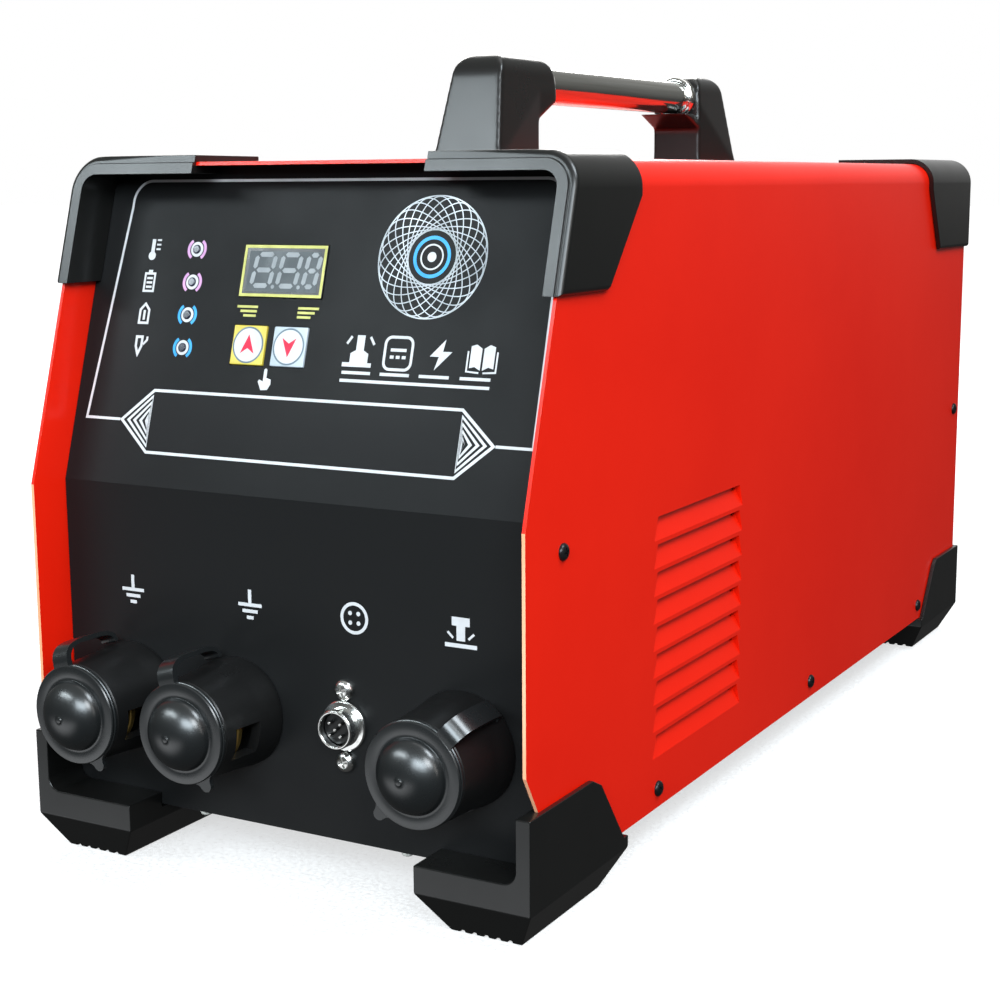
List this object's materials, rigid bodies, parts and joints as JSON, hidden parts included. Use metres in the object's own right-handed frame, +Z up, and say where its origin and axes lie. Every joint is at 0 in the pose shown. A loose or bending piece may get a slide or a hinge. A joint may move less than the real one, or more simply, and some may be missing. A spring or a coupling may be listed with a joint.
{
  "type": "stud welder",
  "caption": "Capacitor discharge stud welder: red sheet-steel case with black corner bumpers and feet, tube handle, capped output sockets, digital display and keys.",
  "frame": {"origin": "centre of the bounding box, on the plane the feet stand on", "axes": "+X to the right seen from the front, +Y from the front panel to the back, +Z up"},
  "size_m": [0.256, 0.6384, 0.3617],
  "materials": {
    "cover_paint": "gloss",
    "panel_paint": "satin",
    "moulding": "satin",
    "chrome": "polished",
    "brass": "satin",
    "rubber": "satin",
    "window": "gloss",
    "key_yellow": "satin",
    "key_pale": "satin",
    "lamp_pink": "gloss",
    "lamp_blue": "gloss",
    "connector_metal": "satin",
    "insulator": "satin",
    "board": "satin",
    "tray_steel": "satin",
    "can_sleeve": "gloss",
    "core_steel": "rough",
    "copper": "satin",
    "sink_metal": "satin",
    "fan_plastic": "satin",
    "switch_plastic": "satin",
    "rocker_plastic": "gloss",
    "gland_plastic": "satin"
  },
  "bodies": {
    "case": {"cover": "cover_paint", "front_panel": "panel_paint", "rear_panel": "panel_paint", "base_tray": "tray_steel", "bumper_front_right": "moulding", "bumper_front_left": "moulding", "bumper_rear_right": "moulding", "bumper_rear_left": "moulding", "foot_front_right": "moulding", "foot_front_left": "moulding", "foot_rear_right": "moulding", "foot_rear_left": "moulding", "handle_post_front": "moulding", "handle_post_rear": "moulding", "handle_tube": "chrome", "handle_ring_front": "chrome", "handle_ring_rear": "chrome", "display_window": "window", "lamp_1": "lamp_pink", "lamp_2": "lamp_pink", "lamp_3": "lamp_blue", "lamp_4": "lamp_blue", "panel_board": "board", "socket_left": "insulator", "contact_left": "brass", "socket_middle": "insulator", "contact_middle": "brass", "socket_right": "insulator", "contact_right": "brass", "connector_shell": "connector_metal", "connector_insert": "insulator", "fan_frame": "fan_plastic", "fan_guard": "chrome", "switch_body": "switch_plastic", "cord_gland": "gland_plastic", "earth_stud": "brass", "capacitor_bank": "can_sleeve", "transformer_core": "core_steel", "transformer_coil": "copper", "heat_sink": "sink_metal", "power_board": "board"},
    "cap_left": {"dust_cap_left": "rubber"},
    "cap_middle": {"dust_cap_middle": "rubber"},
    "cap_right": {"dust_cap_right": "rubber"},
    "key_more": {"key_more": "key_yellow"},
    "key_less": {"key_less": "key_pale"},
    "rocker": {"switch_rocker": "rocker_plastic"},
    "fan": {"fan_rotor": "fan_plastic"}
  },
  "joints": [
    {"name": "cap_left_hinge", "type": "hinge", "parent": "case", "child": "cap_left", "pos_m": [-0.09517, -0.2766, 0.09819], "axis": [-0.9613, 0, -0.2756], "range_deg": [0, 90]},
    {"name": "cap_middle_hinge", "type": "hinge", "parent": "case", "child": "cap_middle", "pos_m": [-0.03667, -0.2766, 0.09819], "axis": [-0.9613, 0, -0.2756], "range_deg": [0, 90]},
    {"name": "cap_right_hinge", "type": "hinge", "parent": "case", "child": "cap_right", "pos_m": [0.1024, -0.2766, 0.09252], "axis": [-0.7431, 0, 0.6691], "range_deg": [0, 50]},
    {"name": "key_more_press", "type": "slide", "parent": "case", "child": "key_more", "axis": [0, 0.9581, -0.2864], "range_m": [0, 0.0008], "stiffness_N_per_m": 1200, "springref_m": -0.0004},
    {"name": "key_less_press", "type": "slide", "parent": "case", "child": "key_less", "axis": [0, 0.9581, -0.2864], "range_m": [0, 0.0008], "stiffness_N_per_m": 1200, "springref_m": -0.0004},
    {"name": "switch_rock", "type": "hinge", "parent": "case", "child": "rocker", "pos_m": [0.062, 0.2962, 0.2357], "axis": [-1, 0, 0], "range_deg": [0, 18]},
    {"name": "fan_spin", "type": "hinge", "parent": "case", "child": "fan", "pos_m": [0, 0.2852, 0.1097], "axis": [0, 1, 0], "continuous": true}
  ]
}
